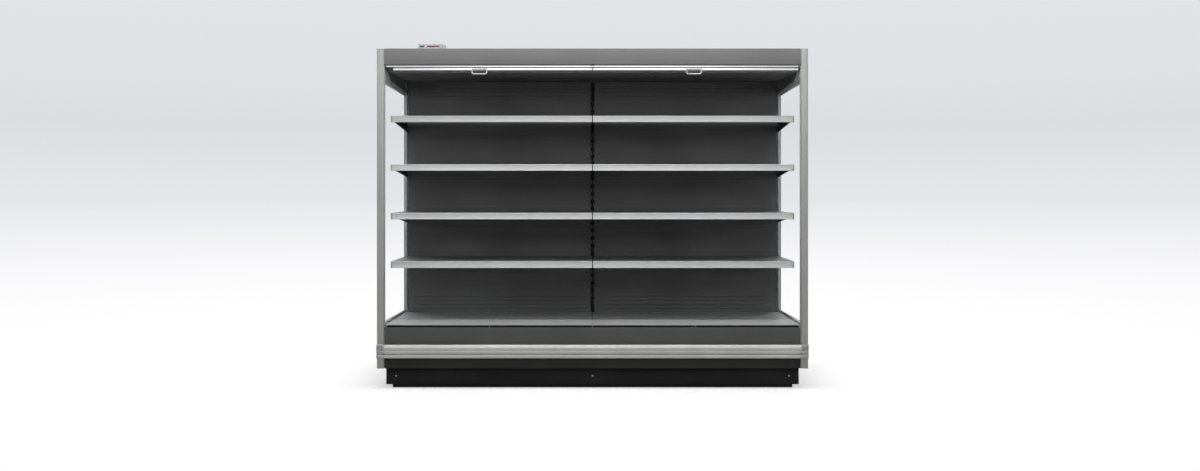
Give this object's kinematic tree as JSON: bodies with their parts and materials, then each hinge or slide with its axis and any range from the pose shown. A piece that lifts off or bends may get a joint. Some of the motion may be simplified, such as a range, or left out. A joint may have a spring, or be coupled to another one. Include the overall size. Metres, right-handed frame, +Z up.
{
  "type": "open multideck display fridge",
  "caption": "Free-standing open-fronted refrigerated display cabinet with hooked shelves, glazed ends, a canopy with pull-down night blinds, and a coil and fans under its deck.",
  "frame": {"origin": "on the floor, at the middle of the cabinet's length and depth", "axes": "+X along the cabinet to the shopper's right, +Y from the open front to the rear wall, +Z up"},
  "size_m": [2.59, 0.84, 2.1175],
  "materials": {
    "anodised_aluminium": "satin",
    "grey_fascia_paint": "satin",
    "dark_grey_paint": "satin",
    "charcoal_paint": "matte",
    "black_paint": "satin",
    "black_plastic": "matte",
    "grey_plastic": "matte",
    "galvanised_steel": "satin",
    "shelf_paint": "satin",
    "foamed_panel": "satin",
    "white_end_panel": "satin",
    "coil_aluminium": "matte",
    "blind_foil": "matte",
    "end_glass": "gloss"
  },
  "bodies": {
    "cabinet": {"base_frame": "black_paint", "levelling_foot_1": "galvanised_steel", "levelling_foot_2": "galvanised_steel", "levelling_foot_3": "galvanised_steel", "levelling_foot_4": "galvanised_steel", "insulated_tub": "foamed_panel", "front_panel": "dark_grey_paint", "lower_panel": "black_paint", "bumper": "anodised_aluminium", "kick_plate": "black_paint", "rear_wall": "foamed_panel", "roof_panel": "foamed_panel", "fascia": "grey_fascia_paint", "canopy_liner": "charcoal_paint", "air_outlet": "grey_plastic", "blind_cassette": "anodised_aluminium", "electrical_tray": "galvanised_steel", "left_front_post": "anodised_aluminium", "left_end_frame": "white_end_panel", "left_end_glass": "end_glass", "left_back_panel": "charcoal_paint", "left_upright": "galvanised_steel", "right_front_post": "anodised_aluminium", "right_end_frame": "white_end_panel", "right_end_glass": "end_glass", "right_back_panel": "charcoal_paint", "right_upright": "galvanised_steel", "centre_upright": "charcoal_paint", "return_grille": "black_plastic", "evaporator_coil": "coil_aluminium", "fan_tray": "galvanised_steel"},
    "left_blind": {"left_blind_bar": "anodised_aluminium", "left_blind_fabric": "blind_foil"},
    "left_roller": {"left_blind_roller": "blind_foil"},
    "right_blind": {"right_blind_bar": "anodised_aluminium", "right_blind_fabric": "blind_foil"},
    "right_roller": {"right_blind_roller": "blind_foil"},
    "fan_1": {"fan_rotor_1": "black_plastic"},
    "fan_2": {"fan_rotor_2": "black_plastic"},
    "fan_3": {"fan_rotor_3": "black_plastic"},
    "deck_1": {"deck_pan_1": "shelf_paint"},
    "deck_2": {"deck_pan_2": "shelf_paint"},
    "deck_3": {"deck_pan_3": "shelf_paint"},
    "deck_4": {"deck_pan_4": "shelf_paint"},
    "shelf_1_left": {"shelf_1_left": "shelf_paint", "price_rail_1_left": "anodised_aluminium"},
    "shelf_1_right": {"shelf_1_right": "shelf_paint", "price_rail_1_right": "anodised_aluminium"},
    "shelf_2_left": {"shelf_2_left": "shelf_paint", "price_rail_2_left": "anodised_aluminium"},
    "shelf_2_right": {"shelf_2_right": "shelf_paint", "price_rail_2_right": "anodised_aluminium"},
    "shelf_3_left": {"shelf_3_left": "shelf_paint", "price_rail_3_left": "anodised_aluminium"},
    "shelf_3_right": {"shelf_3_right": "shelf_paint", "price_rail_3_right": "anodised_aluminium"},
    "shelf_4_left": {"shelf_4_left": "shelf_paint", "price_rail_4_left": "anodised_aluminium"},
    "shelf_4_right": {"shelf_4_right": "shelf_paint", "price_rail_4_right": "anodised_aluminium"}
  },
  "joints": [
    {"name": "left_blind_pull", "type": "slide", "parent": "cabinet", "child": "left_blind", "axis": [0, 0, -1], "range_m": [0, 1.48], "stiffness_N_per_m": 10, "springref_m": -1.6, "deforming": ["left_blind_fabric"]},
    {"name": "left_roller_turn", "type": "hinge", "parent": "cabinet", "child": "left_roller", "pos_m": [0, -0.348, 1.968], "axis": [1, 0, 0], "range_deg": [0, 4800]},
    {"name": "right_blind_pull", "type": "slide", "parent": "cabinet", "child": "right_blind", "axis": [0, 0, -1], "range_m": [0, 1.48], "stiffness_N_per_m": 10, "springref_m": -1.6, "deforming": ["right_blind_fabric"]},
    {"name": "right_roller_turn", "type": "hinge", "parent": "cabinet", "child": "right_roller", "pos_m": [0, -0.348, 1.968], "axis": [1, 0, 0], "range_deg": [0, 4800]},
    {"name": "fan_1_spin", "type": "hinge", "parent": "cabinet", "child": "fan_1", "pos_m": [-0.83333, -0.154, 0.271], "axis": [0, 0.6683, 0.7439], "continuous": true},
    {"name": "fan_2_spin", "type": "hinge", "parent": "cabinet", "child": "fan_2", "pos_m": [0, -0.154, 0.271], "axis": [0, 0.6683, 0.7439], "continuous": true},
    {"name": "fan_3_spin", "type": "hinge", "parent": "cabinet", "child": "fan_3", "pos_m": [0.83333, -0.154, 0.271], "axis": [0, 0.6683, 0.7439], "continuous": true},
    {"name": "deck_pan_1_lift", "type": "slide", "parent": "cabinet", "child": "deck_1", "axis": [0, 0, 1], "range_m": [0, 0.25]},
    {"name": "deck_pan_2_lift", "type": "slide", "parent": "cabinet", "child": "deck_2", "axis": [0, 0, 1], "range_m": [0, 0.25]},
    {"name": "deck_pan_3_lift", "type": "slide", "parent": "cabinet", "child": "deck_3", "axis": [0, 0, 1], "range_m": [0, 0.25]},
    {"name": "deck_pan_4_lift", "type": "slide", "parent": "cabinet", "child": "deck_4", "axis": [0, 0, 1], "range_m": [0, 0.25]},
    {"name": "shelf_1_left_unhook", "type": "slide", "parent": "cabinet", "child": "shelf_1_left", "axis": [0, 0, 1], "range_m": [0, 0.012]},
    {"name": "shelf_1_right_unhook", "type": "slide", "parent": "cabinet", "child": "shelf_1_right", "axis": [0, 0, 1], "range_m": [0, 0.012]},
    {"name": "shelf_2_left_unhook", "type": "slide", "parent": "cabinet", "child": "shelf_2_left", "axis": [0, 0, 1], "range_m": [0, 0.012]},
    {"name": "shelf_2_right_unhook", "type": "slide", "parent": "cabinet", "child": "shelf_2_right", "axis": [0, 0, 1], "range_m": [0, 0.012]},
    {"name": "shelf_3_left_unhook", "type": "slide", "parent": "cabinet", "child": "shelf_3_left", "axis": [0, 0, 1], "range_m": [0, 0.012]},
    {"name": "shelf_3_right_unhook", "type": "slide", "parent": "cabinet", "child": "shelf_3_right", "axis": [0, 0, 1], "range_m": [0, 0.012]},
    {"name": "shelf_4_left_unhook", "type": "slide", "parent": "cabinet", "child": "shelf_4_left", "axis": [0, 0, 1], "range_m": [0, 0.012]},
    {"name": "shelf_4_right_unhook", "type": "slide", "parent": "cabinet", "child": "shelf_4_right", "axis": [0, 0, 1], "range_m": [0, 0.012]}
  ],
  "couplings": [
    {"joint": "left_roller_turn", "follows": "left_blind_pull", "rad_per_m": 55.556},
    {"joint": "right_roller_turn", "follows": "right_blind_pull", "rad_per_m": 55.556}
  ]
}
